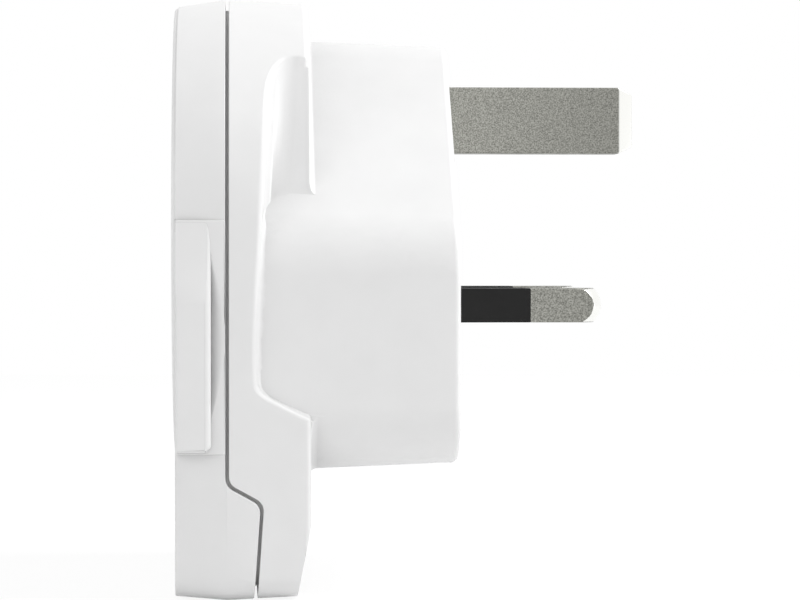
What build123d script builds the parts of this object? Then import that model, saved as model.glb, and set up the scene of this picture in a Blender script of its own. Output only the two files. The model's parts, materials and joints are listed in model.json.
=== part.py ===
from build123d import *

import os
from math import atan2, cos, degrees, radians, sin, sqrt, tan

# Travel adapter: a three-pin wall plug at the back, a flush socket face at the front and
# two USB charging ports in the chin. All sizes are in millimetres.
# Frame: +X runs out along the plug pins and +Z is up. The origin is on the plug face, midway
# between the line pin (at -Y) and the neutral pin (at +Y).

# Wall plug pins, to the 13 A three-pin standard
pin_pitch = 22.2            # line to neutral, centre to centre
earth_rise = 22.2           # earth pin centre above the line and neutral row
earth_height = 8.0
earth_thickness = 4.0
earth_length = 22.7
earth_tip = 1.7             # length of the tapered tip
earth_tip_inset = 0.85
live_width = 6.35
live_thickness = 4.0
live_length = 17.7
live_tip_radius = 4.6       # rounding of the tip in plan
live_tip_crown = 2.6        # rounding of the tip in side view
sleeve_length = 9.0
sleeve_wall = 0.6
shank_width = 4.0           # pin shank inside the plug
shank_height = 3.0
flange_reach = 0.7          # shoulder that seats on the inside of the plug face
flange_thickness = 1.2

# Case outline: an arch with a flat foot, split at the seam
plug_length = 17.0          # from the plug face to the rear of the case
rear_depth = 9.45           # from the rear of the case to the seam
front_depth = 5.85          # from the seam to the front edge
case_radius = 28.2
arch_z = 8.5                # centre of the arch and of the socket
chin_gap = 1.9              # room between the contact carrier and the USB ports
foot_corner = 2.5
front_draft = 0.9
rear_draft = 0.55
foot_draft = 0.4
case_wall = 2.0
front_wall = 1.6
rear_wall = 1.8
chin_slope_height = 8.5     # the chin's back slopes forward below this height
chin_slope_depth = 1.6
rear_edge_round = 0.7

# Seam: straight, with an S bend into the chin
seam_gap = 0.4
seam_ramp_rise = 10.9       # foot of the bend above the foot of the case
seam_ramp_height = 2.2
seam_jog = 3.95             # how far the bend moves the seam back
seam_foot_lean = 0.75
seam_bend = 1.5
lip_wall = 0.7              # tongue of the rear shell inside the front shell
lip_reach = 0.8
lip_root = 0.6              # how far the tongue runs into the rear shell's wall
lip_clearance = 0.12

# Plug body: pointed top, straight flanks and rounded lower corners
plug_side_inset = 2.0       # from the side of the case to the flank
plug_peak_rise = 11.6       # from the earth pin's centre to where the 45 degree flanks would meet
plug_foot = -18.0
plug_peak_round = 6.5
plug_shoulder_round = 9.3
plug_foot_round = 7.0
plug_root_round = 0.75      # where it rises from the rear of the case
plug_draft = 2.2            # degrees
plug_root_gap = 1.05        # its root starts this far behind the seam
plug_wall = 2.2
plug_face_wall = 2.4
plug_face_round = 0.8

# Finger recess on each flank of the rear shell
recess_level = 12.4         # height at which the next two sizes hold
recess_run = 5.4            # from the rear of the case to where it leaves the side wall
recess_sink = 4.2           # depth of its floor below the plug's flank
recess_rake = 1.0           # degrees that its front wall leans back
recess_lean_x = 0.053       # how far it moves back for each millimetre up
recess_lean_y = 0.19        # how far its floor comes in for each millimetre up
recess_height = 21.7        # from recess_level down to the ledge at its lower end
recess_ledge_run = 6.1
recess_ledge_angle = 29.0   # degrees that the ledge falls away to the rear
recess_round = 0.7          # along its border
recess_foot_round = 3.0     # between its front wall and its floor
recess_corner_round = 1.3   # between its front wall and the ledge

# Finger pads on the sides of the front shell
pad_front_gap = 0.1         # from the front edge of the case
pad_rear_gap = 1.95         # from the seam
pad_top_rise = 1.05         # above the centre of the arch
pad_length = 25.75
pad_crease_drop = 9.15      # from the top of the pad
pad_proud = 0.9             # beyond the widest part of the case
pad_base_proud = 0.05
pad_top_fall = 0.8          # how far the upper half leans in
pad_corner = 0.7
pad_rear_slope = 0.35       # how far its rear face leans in
pad_margin = 0.25
scoop_depth = 2.0
scoop_gap = 0.15            # left between its end and the seam's edge

# Socket plate and its openings
plate_margin = 0.2          # front edge of the case left round the plate
plate_proud = 0.65
plate_edge = 0.36
plate_crown = 0.25
plate_flange = 4.1          # width of its seat on the front shell
spigot_clearance = 0.1
entry_pitch = 19.0          # round pins of the visiting plug
entry_radius = 2.7
blade_pitch = 12.7          # flat blades of the visiting plug
blade_slot_width = 2.1
blade_slot_height = 7.2
earth_entry_rise = 11.9

# Contact carrier, shutter and spring
shutter_thickness = 1.4
shutter_clearance = 0.15
shutter_side = 2.8          # from the edge of an entry to the side of the shutter
shutter_travel = 8.0
shutter_margin = 1.2        # frame left round its windows
shutter_notch = 3.6         # half width of the notch that clears the earth entry
guide_width = 1.2
guide_clearance = 0.2
carrier_thickness = 2.4
carrier_slack = 0.3         # its holes are this much larger than the entries
post_edge = 1.7             # from the rim of the carrier to the posts that carry it
post_radius = 1.4
peg_radius = 0.8            # each post ends in a peg with a staked head
peg_clearance = 0.1
stake_radius = 1.4
stake_thickness = 0.6
spring_radius = 1.1
spring_wire = 0.36
spring_turns = 5
spring_sides = 6            # flats on the wire
spring_seat_drop = 13.0     # length of the spring at rest
spring_pocket_margin = 0.3
spring_end_gap = 0.08

# Socket contacts: two leaves and a bridge each
leaf_thickness = 0.6
leaf_width = 6.0
leaf_gap = 4.4
contact_gap = 1.2           # behind the fuse link

# Fuse, its carrier and its clips
fuse_z = 10.5
fuse_depth = 6.2            # from the plug face to the fuse's axis
fuse_length = 25.4
fuse_cap_radius = 3.17
fuse_cap_length = 6.0
fuse_cap_end = 0.6
fuse_tube_radius = 2.75
fuse_cap_gap = 0.05
drawer_width = 31.0
drawer_height = 9.0
drawer_plate = 1.8
drawer_corner = 1.2
drawer_ledge = 0.9          # width of the seat that it rests on
drawer_clearance = 0.2
drawer_cradle = 12.0        # length of the cradle between the caps
cradle_wall = 0.6
drawer_grip = 8.0           # notch for a fingernail
grip_height = 1.0
grip_depth = 0.8
clip_thickness = 0.5
clip_width = 4.0
clip_clearance = 0.15
clip_reach = 1.2            # jaws run this far past the fuse's axis
link_height = 4.0
link_gap = 0.7

# USB ports
usb_pitch = 18.5
usb_width = 13.1
usb_height = 5.7
usb_depth = 14.0
usb_sheet = 0.3
usb_gap = 0.1               # in front of the ports
usb_clearance = 0.15
usb_inset = 0.3             # mouth above the foot of the case
usb_block = 4.0
tongue_width = 11.2
tongue_thickness = 1.84
tongue_front_gap = 1.95
tongue_setback = 1.6
terminal_width = 1.0
terminal_thickness = 0.15
terminal_pitch = 2.3
terminal_length = 6.4

# Charger board and what it carries
board_thickness = 1.2
board_side_gap = 2.1        # from the screw bosses
board_foot_gap = 0.6        # from the foot of the cavity
board_post_inset = 2.5
board_post_radius = 1.6
board_peg_radius = 0.8
transformer_depth = 10.8
transformer_width = 12.0
transformer_height = 9.0
transformer_core = 3.6
transformer_edge = 3.0      # from the side of the board
transformer_gap = 0.3       # above the foot of the plug's cavity
winding_inset = 1.8
input_cap_radius = 4.0
input_cap_length = 10.5
filter_cap_radius = 3.15
filter_cap_length = 8.0
filter_cap_edge = 0.85      # from the side of the board
cap_gap = 0.85              # between the two
output_cap_radius = 2.2
output_cap_length = 3.9
output_cap_rise = 4.9       # above the foot of the board
can_edge = 0.5
strip_width = 3.0
strip_thickness = 0.5
strip_overlap = 1.4         # how far the supply strips lie on the board
strip_gap = 0.1             # from the transformer

# Case screws
screw_inset = 5.9           # from the side of the case
screw_rise = 6.0            # above the foot of the case
screw_radius = 1.25
screw_head_radius = 2.3
screw_head = 1.7
screw_length = 10.0
screw_clearance = 0.1
screw_sink = 3.2            # seat of the head below the rear of the case
slot_width = 0.6
slot_depth = 0.8
boss_radius = 3.2
boss_gap = 2.0              # the bosses meet this far in front of the seam

# Levels worked out from the sizes above
span = 2 * case_radius      # longer than the case is wide
tiny = 0.01                 # tolerance for picking edges
rear_x = -plug_length
seam_x = rear_x - rear_depth
front_x = seam_x - front_depth
cavity_front_x = front_x + front_wall
carrier_radius = case_radius - front_draft - case_wall
case_foot = arch_z - carrier_radius - chin_gap - usb_depth - usb_inset
chin_slope_top = case_foot + chin_slope_height
seam_ramp_foot = case_foot + seam_ramp_rise
seam_ramp_top = seam_ramp_foot + seam_ramp_height
chin_seam_x = seam_x + seam_jog
chin_seam_foot_x = chin_seam_x - seam_foot_lean
plug_half_width = case_radius - plug_side_inset
plug_peak = earth_rise + plug_peak_rise
plug_root_x = seam_x + plug_root_gap
plug_inner_x = -plug_face_wall
recess_edge_x = rear_x - recess_run
recess_ledge_x = rear_x - recess_ledge_run
recess_floor = plug_half_width - recess_sink
recess_ledge_z = recess_level - recess_height
pad_front_x = front_x + pad_front_gap
pad_rear_x = seam_x - pad_rear_gap
scoop_start_x = pad_rear_x - pad_rear_slope
pad_top = arch_z + pad_top_rise
pad_crease = pad_top - pad_crease_drop
pad_foot = pad_top - pad_length
pad_reach = case_radius + pad_proud
pad_base_reach = case_radius + pad_base_proud
plate_radius = case_radius - front_draft - plate_margin
plate_back_x = cavity_front_x
spigot_radius = plate_radius - plate_flange
earth_entry_z = arch_z + earth_entry_rise
shutter_front_x = plate_back_x + shutter_clearance
shutter_back_x = shutter_front_x + shutter_thickness
shutter_half_width = entry_pitch / 2 + entry_radius + shutter_side
shutter_foot = arch_z - blade_slot_height / 2 - shutter_margin / 2
window_z = arch_z + shutter_travel
shutter_top = window_z + blade_slot_height / 2 + shutter_margin
carrier_front_x = shutter_back_x + shutter_clearance
carrier_back_x = carrier_front_x + carrier_thickness
post_circle = carrier_radius - post_edge
spring_x = (shutter_front_x + shutter_back_x) / 2
spring_seat_z = shutter_foot - spring_seat_drop
fuse_x = -fuse_depth
fuse_clip_x = fuse_x - fuse_cap_radius - clip_clearance
line_clip_x = fuse_clip_x - clip_thickness
link_back_x = line_clip_x - link_gap - clip_thickness
contact_back_x = link_back_x - contact_gap
usb_front_x = cavity_front_x + usb_gap
usb_mouth_z = case_foot + usb_inset
usb_top_z = usb_mouth_z + usb_depth
usb_places = {"left": -usb_pitch / 2, "right": usb_pitch / 2}
tongue_front_x = usb_front_x + usb_sheet + tongue_front_gap
screw_y = case_radius - screw_inset
screw_z = case_foot + screw_rise
screw_seat_x = rear_x - screw_sink
screw_tip_x = screw_seat_x - screw_length
boss_meet_x = chin_seam_x - boss_gap
board_x = usb_front_x + usb_height
board_back_x = board_x + board_thickness
board_half_width = screw_y - boss_radius - board_side_gap
board_foot = case_foot + case_wall + board_foot_gap
board_post_y = board_half_width - board_post_inset
board_post_z = board_foot + board_post_inset
transformer_y = transformer_edge + transformer_width / 2 - board_half_width
filter_cap_y = board_half_width - filter_cap_edge - filter_cap_radius
input_cap_y = filter_cap_y - filter_cap_radius - cap_gap - input_cap_radius
transformer_z = plug_foot + plug_wall + transformer_gap + transformer_height / 2
board_top = transformer_z + transformer_height / 2 + strip_gap + strip_overlap
output_cap_z = board_foot + output_cap_rise
strip_z = -shank_height / 2


def section(x):
    # plane across the adapter: its own x runs along +Y and its own y along +Z
    return Plane(origin=(x, 0, 0), x_dir=(0, 1, 0), z_dir=(1, 0, 0))


def block(x, y, z):
    # box between low and high limits
    sizes = [high - low for low, high in (x, y, z)]
    middle = [(high + low) / 2 for low, high in (x, y, z)]
    return Pos(*middle) * Box(*sizes)


def rod(radius, x, y, z):
    # cylinder along X between two limits
    return extrude(section(x[0]) * Pos(y, z) * Circle(radius), amount=x[1] - x[0])


def both_sides(solid):
    return solid + mirror(solid, about=Plane.XZ)


def arch(radius, foot):
    rise = arch_z - foot
    outline = Pos(0, arch_z) * Circle(radius)
    outline += Pos(0, arch_z - rise / 2) * Rectangle(2 * radius, rise)
    corners = outline.vertices().sort_by(Axis.Y)[:2]
    return fillet(corners, foot_corner)


def case_solid(inset):
    front = section(front_x) * arch(case_radius - front_draft - inset, case_foot + foot_draft + inset)
    middle = section(seam_x) * arch(case_radius - inset, case_foot + inset)
    rear = section(rear_x) * arch(case_radius - rear_draft - inset, case_foot + foot_draft + inset)
    return loft([front, middle, rear], ruled=True)


def front_of_seam(shift):
    # everything in front of the seam line, moved back by shift at right angles to it
    ramp = atan2(seam_ramp_top - seam_ramp_foot, chin_seam_x - seam_x)
    step = shift * (1 - sin(ramp)) / cos(ramp)
    corners = [
        (seam_x, span),
        (seam_x, seam_ramp_top),
        (chin_seam_x, seam_ramp_foot),
        (chin_seam_foot_x, case_foot),
    ]
    corners = [(x + shift, z + step) for x, z in corners]
    foot_x = corners[3][0] + (corners[3][0] - corners[2][0])
    foot_z = corners[3][1] + (corners[3][1] - corners[2][1])
    corners[3] = (foot_x, foot_z)
    seam = FilletPolyline(*corners, radius=seam_bend)
    rest = Polyline(corners[3], (seam_x - span, foot_z), (seam_x - span, span + step), corners[0])
    return extrude(Plane.XZ * make_face([seam, rest]), amount=span, both=True)


def plug_outline(grow):
    half = plug_half_width + grow
    peak = plug_peak + grow * sqrt(2)
    foot = plug_foot - grow
    outline = make_face(Polyline(
        (0, peak), (half, peak - half), (half, foot), (-half, foot), (-half, peak - half), close=True,
    ))
    by_height = outline.vertices().sort_by(Axis.Y)
    outline = fillet(by_height[4:], plug_peak_round + grow)
    shoulders = [v for v in outline.vertices() if abs(v.X) > half - tiny and v.Y > foot + tiny]
    outline = fillet(shoulders, plug_shoulder_round + grow)
    lower = outline.vertices().sort_by(Axis.Y)[:2]
    return fillet(lower, plug_foot_round + grow)


def plug_solid(inset, x_end):
    def grow(x):
        return -x * tan(radians(plug_draft)) - inset
    root = section(plug_root_x) * plug_outline(grow(plug_root_x))
    face = section(x_end) * plug_outline(grow(x_end))
    return loft([root, face], ruled=True)


def recess_tool(grow):
    # wedge that is cut from the -Y flank, or its outer shape with the wall thickness added
    lean = tan(radians(recess_rake))
    floor = recess_floor - grow
    edge_x = recess_edge_x - grow
    foot_x = edge_x + (case_radius - floor) * lean
    outer = case_radius + span / 4
    outer_x = edge_x - (outer - case_radius) * lean
    wedge = make_face(Polyline(
        (foot_x, -floor), (outer_x, -outer), (rear_x + span, -outer), (rear_x + span, -floor), close=True,
    ))
    up = Vector(recess_lean_x, recess_lean_y, 1)
    low = Pos(*(Vector(0, 0, recess_level) - up * span)) * wedge
    wedge_solid = extrude(low, amount=2 * span * up.length, dir=up.normalized())
    drop = tan(radians(recess_ledge_angle))
    ledge_z = recess_ledge_z - grow
    ledge = make_face(Polyline(
        (recess_ledge_x - span, ledge_z + span * drop),
        (recess_ledge_x + span, ledge_z - span * drop),
        (recess_ledge_x + span, ledge_z - 4 * span),
        (recess_ledge_x - span, ledge_z - 4 * span),
        close=True,
    ))
    below = extrude(Plane.XZ * ledge, amount=2 * span, both=True)
    return wedge_solid - below


def chin_slope(shift):
    # everything behind the sloping back of the chin
    tilt = degrees(atan2(chin_slope_depth, chin_slope_top - case_foot))
    behind = Pos(span / 2, 0, -span / 2) * Box(span, 2 * span, span)
    return Pos(rear_x + shift, 0, chin_slope_top) * Rot(0, tilt, 0) * behind


def case_cavity():
    inside = block((cavity_front_x, rear_x - rear_wall), (-span, span), (-span, span))
    cavity = case_solid(case_wall) & inside
    return cavity - both_sides(recess_tool(case_wall)) - chin_slope(-rear_wall)


def entry_outline(slack):
    # a round entry joined to an upright blade slot for each pole, and a round earth entry
    holes = Pos(0, earth_entry_z) * Circle(entry_radius + slack)
    for side in (-1, 1):
        slot = Rectangle(blade_slot_width + 2 * slack, blade_slot_height + 2 * slack)
        holes += Pos(side * entry_pitch / 2, arch_z) * Circle(entry_radius + slack)
        holes += Pos(side * blade_pitch / 2, arch_z) * slot
    return holes


def post_places():
    # four posts, spread evenly round the socket
    step = post_circle * sin(radians(45))
    return [(y, arch_z + z) for y in (-step, step) for z in (-step, step)]


def finger_pad():
    # pad on the -Y flank, creased across, with a sloping rear face
    root = pad_base_reach - scoop_depth - pad_margin
    outline = make_face(Polyline(
        (-root, pad_foot),
        (-pad_reach, pad_foot),
        (-pad_reach, pad_crease),
        (pad_top_fall - pad_reach, pad_top),
        (-root, pad_top),
        close=True,
    ))
    pad = extrude(section(pad_front_x) * outline, amount=pad_rear_x - pad_front_x)
    rear_corners = pad.edges().filter_by(Axis.Y).sort_by(Axis.X)[-2:]
    pad = fillet(rear_corners, pad_corner)
    behind = make_face(Polyline(
        (pad_rear_x, -root),
        (scoop_start_x, -pad_reach),
        (pad_rear_x, -pad_reach),
        close=True,
    ))
    return pad - extrude(behind, amount=span, both=True)


def pad_base():
    # shallow base of the pad, which runs to the seam
    root = case_radius - front_draft - case_wall / 2
    return block(
        (pad_front_x, seam_x - seam_gap / 2),
        (-pad_base_reach, -root),
        (pad_foot - pad_margin, pad_top + pad_margin),
    )


def finger_scoop():
    # hollow behind the pad: deepest under the pad's rear edge, and running out short of the seam
    run = seam_x - seam_gap / 2 - scoop_gap - scoop_start_x
    half = (pad_top - pad_foot) / 2
    radius = (half**2 + scoop_depth**2) / (2 * scoop_depth)
    along = Vector(run, -scoop_depth, 0).normalized()
    outward = Vector(-scoop_depth, -run, 0).normalized()
    deepest = Vector(scoop_start_x, scoop_depth - pad_base_reach, (pad_top + pad_foot) / 2)
    hollow = Plane(origin=deepest + outward * radius, z_dir=along) * Cylinder(radius, span)
    behind_pad = block((scoop_start_x, seam_x), (-span, 0), (-span, span))
    return hollow & behind_pad


def front_shell():
    shell = case_solid(0) & front_of_seam(-seam_gap / 2)
    shell += both_sides(pad_base())
    shell -= both_sides(finger_scoop())
    shell += both_sides(finger_pad())
    shell -= case_cavity()
    rebate = case_solid(case_wall - lip_wall - lip_clearance)
    shell -= rebate - front_of_seam(-lip_reach - lip_clearance)
    shell -= rod(spigot_radius + spigot_clearance, (front_x - span, cavity_front_x), 0, arch_z)
    wall_middle_x = front_x + front_wall / 2
    for y, z in post_places():
        shell += rod(post_radius, (cavity_front_x, carrier_front_x), y, z)
        shell += rod(peg_radius, (cavity_front_x, carrier_back_x + stake_thickness), y, z)
        shell += rod(stake_radius, (carrier_back_x, carrier_back_x + stake_thickness), y, z)
    for y in (-screw_y, screw_y):
        shell += rod(boss_radius, (wall_middle_x, boss_meet_x), y, screw_z)
        shell -= rod(screw_radius, (screw_tip_x, boss_meet_x), y, screw_z)
    for y in usb_places.values():
        slack = usb_clearance
        shell -= block(
            (usb_front_x - slack, board_x + slack),
            (y - usb_width / 2 - slack, y + usb_width / 2 + slack),
            (case_foot - span, usb_top_z),
        )
    return shell


def socket_plate():
    rim_x = front_x - plate_proud + plate_crown
    outline = make_face([
        Polyline((rim_x, plate_radius), (front_x, plate_radius), (front_x, spigot_radius)),
        Polyline((front_x, spigot_radius), (plate_back_x, spigot_radius), (plate_back_x, 0)),
        Line((plate_back_x, 0), (front_x - plate_proud, 0)),
        TangentArc((front_x - plate_proud, 0), (rim_x, plate_radius), tangent=(0, 1)),
    ])
    rim = outline.vertices().sort_by_distance((rim_x, plate_radius))[0]
    plate = Pos(0, 0, arch_z) * revolve(fillet(rim, plate_edge), Axis.X)
    plate -= extrude(section(front_x - span) * entry_outline(0), amount=2 * span)
    return plate - spring_pocket()


def spring_pocket():
    reach = spring_radius + spring_wire / 2 + spring_pocket_margin
    return block((spring_x - reach, spring_x + reach), (-reach, reach), (spring_seat_z, shutter_foot))


def contact_carrier():
    # disc behind the shutter, with the guides, the stops and the spring's seat on its front
    carrier = rod(carrier_radius, (carrier_front_x, carrier_back_x), 0, arch_z)
    height = (plate_back_x + shutter_clearance, carrier_front_x)
    guide_y = shutter_half_width + guide_clearance
    low = shutter_foot - shutter_travel
    stop_z = shutter_top + guide_clearance
    for side in (-1, 1):
        inner, outer = sorted((side * guide_y, side * (guide_y + guide_width)))
        carrier += block(height, (inner, outer), (low, shutter_top))
        inner, outer = sorted((side * (shutter_notch + guide_width), side * guide_y))
        carrier += block(height, (inner, outer), (stop_z, stop_z + guide_width))
    seat = spring_radius + spring_wire
    carrier += block(height, (-seat, seat), (spring_seat_z - guide_width, spring_seat_z))
    carrier -= extrude(section(carrier_front_x - span) * entry_outline(carrier_slack), amount=2 * span)
    for y, z in post_places():
        carrier -= rod(peg_radius + peg_clearance, (carrier_front_x, carrier_back_x), y, z)
    return carrier - spring_pocket()


def shutter():
    # plate that closes both poles; its windows meet the entries when it is pushed down
    width = 2 * shutter_half_width
    outline = Pos(0, (shutter_top + shutter_foot) / 2) * Rectangle(width, shutter_top - shutter_foot)
    notch_foot = earth_entry_z - entry_radius - shutter_margin
    notch = Rectangle(2 * shutter_notch, shutter_top - notch_foot)
    outline -= Pos(0, (shutter_top + notch_foot) / 2) * notch
    inner = blade_pitch / 2 - blade_slot_width / 2
    outer = entry_pitch / 2 + entry_radius
    for side in (-1, 1):
        window = Pos(side * (inner + outer) / 2, window_z) * Rectangle(outer - inner, blade_slot_height)
        outline -= window
    return extrude(section(shutter_front_x) * outline, amount=shutter_thickness)


def shutter_spring():
    length = shutter_foot - spring_seat_z - spring_wire - 2 * spring_end_gap
    path = Helix(pitch=length / spring_turns, height=length, radius=spring_radius)
    wire = Plane(origin=path @ 0, z_dir=path % 0) * RegularPolygon(spring_wire / 2, spring_sides)
    foot_z = spring_seat_z + spring_wire / 2 + spring_end_gap
    return Pos(spring_x, 0, foot_z) * sweep(wire, path, is_frenet=True)


def socket_contact(y, z, back_x):
    # two leaves that grip the visiting pin, joined by a bridge
    inner = leaf_gap / 2
    outer = inner + leaf_thickness
    height = (z - leaf_width / 2, z + leaf_width / 2)
    contact = block((carrier_back_x, back_x), (y - outer, y - inner), height)
    contact += block((carrier_back_x, back_x), (y + inner, y + outer), height)
    return contact + block((back_x - leaf_thickness, back_x), (y - outer, y + outer), height)


def pole_contact(side, back_x):
    # pole contact with a tail that reaches down to the row of the pins
    contact = socket_contact(side * entry_pitch / 2, arch_z, back_x)
    y = side * pin_pitch / 2
    tail = (y - shank_width / 2, y + shank_width / 2)
    return contact + block((back_x - leaf_thickness, back_x), tail, (strip_z - strip_thickness, arch_z))


def rounded_recess():
    # recess with a large round along the foot of its front wall, and a smaller one to the ledge
    recess = recess_tool(0)
    corner = recess.vertices().sort_by_distance((recess_ledge_x, -recess_floor, recess_ledge_z))[0]
    at_corner = recess.edges().filter_by(lambda edge: edge.distance_to(corner) < tiny)
    upright = at_corner.sort_by(lambda edge: abs((edge % 0.5).Z))[-1]
    recess = recess.fillet(recess_foot_round, [upright])
    bend = recess.edges().sort_by(lambda edge: (edge.center() - corner.center()).length)[0]
    return recess.fillet(recess_corner_round, [bend])


def plug_root():
    # round that leads from the flat rear of the case into the plug, as far as the recesses leave it
    plate = block((rear_x - rear_wall, rear_x), (-2 * span, 2 * span), (-2 * span, 2 * span))
    joined = plate + plug_solid(0, 0)
    on_rear = joined.edges().filter_by_position(Axis.X, rear_x - tiny, rear_x + tiny)
    inner = [edge for edge in on_rear if edge.distance_to(Vertex(rear_x, 0, 0)) < span]
    joined = joined.solid().fillet(plug_root_round, inner)
    flat = arch(case_radius - rear_draft - rear_edge_round, chin_slope_top)
    within = extrude(section(rear_x - rear_wall) * flat, amount=rear_wall + plug_root_round)
    return (joined & within) - both_sides(recess_tool(0))


def rear_case():
    # rear half of the case, with a rounded rim and a rounded finger recess on each flank
    body = case_solid(0) - front_of_seam(seam_gap / 2) - chin_slope(0)
    rim = body.edges().filter_by_position(Axis.X, rear_x - tiny, rear_x + tiny)
    rim = [edge for edge in rim if edge.center().Z > chin_slope_top + tiny]
    body = body.solid().fillet(rear_edge_round, rim)
    recesses = both_sides(rounded_recess())
    cut = body - recesses
    half_way_x = (rear_x + recess_edge_x) / 2
    border = [e for e in new_edges(body, recesses, combined=cut) if e.center().X < half_way_x]
    return cut.solid().fillet(recess_round, border)


def drawer_outline(slack):
    return Pos(0, fuse_z) * RectangleRounded(
        drawer_width + 2 * slack, drawer_height + 2 * slack, drawer_corner + slack)


def plug_face_edges(shell):
    return shell.edges().filter_by_position(Axis.X, -tiny, tiny)


def rear_shell():
    plug = plug_solid(0, 0)
    plug = plug.fillet(plug_face_round, plug_face_edges(plug))
    shell = rear_case() + plug_root() + plug
    shell -= case_cavity()
    shell -= plug_solid(plug_wall, plug_inner_x)
    lip = case_solid(case_wall - lip_wall) - case_solid(case_wall)
    shell += lip & (front_of_seam(lip_root) - front_of_seam(-lip_reach))
    for y in (-screw_y, screw_y):
        shell += rod(boss_radius, (boss_meet_x, rear_x - rear_wall), y, screw_z)
        shell -= rod(screw_radius + screw_clearance, (boss_meet_x, rear_x), y, screw_z)
        shell -= rod(screw_head_radius + screw_clearance, (screw_seat_x, rear_x), y, screw_z)
    for y in (-board_post_y, board_post_y):
        shell += rod(board_post_radius, (board_back_x, rear_x - rear_wall), y, board_post_z)
        shell += rod(board_peg_radius, (board_x, board_back_x), y, board_post_z)
    shell -= extrude(section(-drawer_plate) * drawer_outline(drawer_clearance), amount=drawer_plate)
    shell -= extrude(section(plug_inner_x) * drawer_outline(-drawer_ledge), amount=plug_face_wall)
    shell -= block((plug_inner_x, 0), *pin_limits(earth_thickness, earth_height, 0, earth_rise))
    for y in (-pin_pitch / 2, pin_pitch / 2):
        shell -= block((plug_inner_x, 0), *pin_limits(live_width, live_thickness, y, 0))
    return shell


def pin_limits(width, height, y, z):
    return (y - width / 2, y + width / 2), (z - height / 2, z + height / 2)


def pin_root(width, height, y, z, shank_end_x):
    # shoulder on the inside of the plug face, and the shank behind it
    flange_x = plug_inner_x - flange_thickness
    reach = 2 * flange_reach
    root = block((flange_x, plug_inner_x), *pin_limits(width + reach, height + reach, y, z))
    return root + block((shank_end_x, flange_x), *pin_limits(shank_width, shank_height, y, z))


def earth_pin():
    taper_x = earth_length - earth_tip
    pin = block((plug_inner_x, taper_x), *pin_limits(earth_thickness, earth_height, 0, earth_rise))
    base = section(taper_x) * Pos(0, earth_rise) * Rectangle(earth_thickness, earth_height)
    inset = 2 * earth_tip_inset
    small = Rectangle(earth_thickness - inset, earth_height - inset)
    end = section(earth_length) * Pos(0, earth_rise) * small
    pin += loft([base, end], ruled=True)
    return pin + pin_root(earth_thickness, earth_height, 0, earth_rise, contact_back_x)


def live_pin(y, shank_end_x):
    # necked under its sleeve, with a tip rounded in plan and crowned in side view
    neck = pin_limits(live_width - 2 * sleeve_wall, live_thickness - 2 * sleeve_wall, y, 0)
    full = pin_limits(live_width, live_thickness, y, 0)
    tip_x = live_length - live_tip_radius
    half = live_thickness / 2
    shoulder = live_tip_radius - live_tip_crown + sqrt(live_tip_crown**2 - half**2)
    outline = make_face([
        Polyline((shoulder, half), (0, half), (0, -half), (shoulder, -half)),
        ThreePointArc((shoulder, -half), (live_tip_radius, 0), (shoulder, half)),
    ])
    wheel = Pos(tip_x, y, 0) * revolve(Plane.XZ * outline, Axis.Z)
    pin = block((plug_inner_x, sleeve_length), *neck)
    pin += block((sleeve_length, tip_x), *full)
    pin += wheel & block((tip_x, live_length), *full)
    return pin + pin_root(live_width, live_thickness, y, 0, shank_end_x)


def pin_sleeve(y):
    neck = pin_limits(live_width - 2 * sleeve_wall, live_thickness - 2 * sleeve_wall, y, 0)
    full = pin_limits(live_width, live_thickness, y, 0)
    return block((plug_inner_x, sleeve_length), *full) - block((plug_inner_x, sleeve_length), *neck)


def fuse_rod(radius, y):
    # cylinder along the fuse between two limits
    return Pos(fuse_x, (y[0] + y[1]) / 2, fuse_z) * Rot(90, 0, 0) * Cylinder(radius, y[1] - y[0])


def fuse_carrier():
    carrier = extrude(section(-drawer_plate) * drawer_outline(0), amount=drawer_plate)
    half = drawer_cradle / 2
    lift = fuse_tube_radius + cradle_wall
    carrier += block((fuse_x, -drawer_plate), (-half, half), (fuse_z - lift, fuse_z + lift))
    carrier -= fuse_rod(fuse_tube_radius + fuse_cap_gap, (-half, half))
    foot_z = fuse_z - drawer_height / 2
    notch = (foot_z, foot_z + grip_height)
    return carrier - block((-grip_depth, 0), (-drawer_grip / 2, drawer_grip / 2), notch)


def fuse_tube():
    half = fuse_length / 2 - fuse_cap_end - fuse_cap_gap
    return fuse_rod(fuse_tube_radius, (-half, half))


def fuse_caps():
    end = fuse_length / 2
    cap = fuse_rod(fuse_cap_radius, (-end, fuse_cap_length - end))
    cap -= fuse_rod(fuse_tube_radius + fuse_cap_gap, (fuse_cap_end - end, fuse_cap_length - end))
    return [cap, mirror(cap, about=Plane.XZ)]


def fuse_clip(y):
    # two flat jaws that grip the fuse cap, joined by a back plate
    low = fuse_z - fuse_cap_radius - clip_clearance
    high = fuse_z + fuse_cap_radius + clip_clearance
    width = (y - clip_width / 2, y + clip_width / 2)
    clip = block((line_clip_x, fuse_clip_x), width, (low - clip_thickness, high + clip_thickness))
    clip += block((line_clip_x, fuse_x + clip_reach), width, (high, high + clip_thickness))
    return clip + block((line_clip_x, fuse_x + clip_reach), width, (low - clip_thickness, low))


def line_fuse_clip():
    y = -pin_pitch / 2
    width = (y - clip_width / 2, y + clip_width / 2)
    tail = block((line_clip_x, fuse_clip_x), width, (-shank_height / 2, fuse_z))
    return fuse_clip(y) + tail


def load_fuse_clip():
    # clip on the far cap, with a folded link that runs back to the line contact
    y = pin_pitch / 2
    low = y - clip_width / 2
    height = (fuse_z - link_height / 2, fuse_z + link_height / 2)
    link_x = (link_back_x, link_back_x + clip_thickness)
    clip = fuse_clip(y)
    clip += block((link_back_x, fuse_clip_x), (low, low + clip_thickness), height)
    return clip + block(link_x, (-entry_pitch / 2 - leaf_gap / 2, low + clip_thickness), height)


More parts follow.
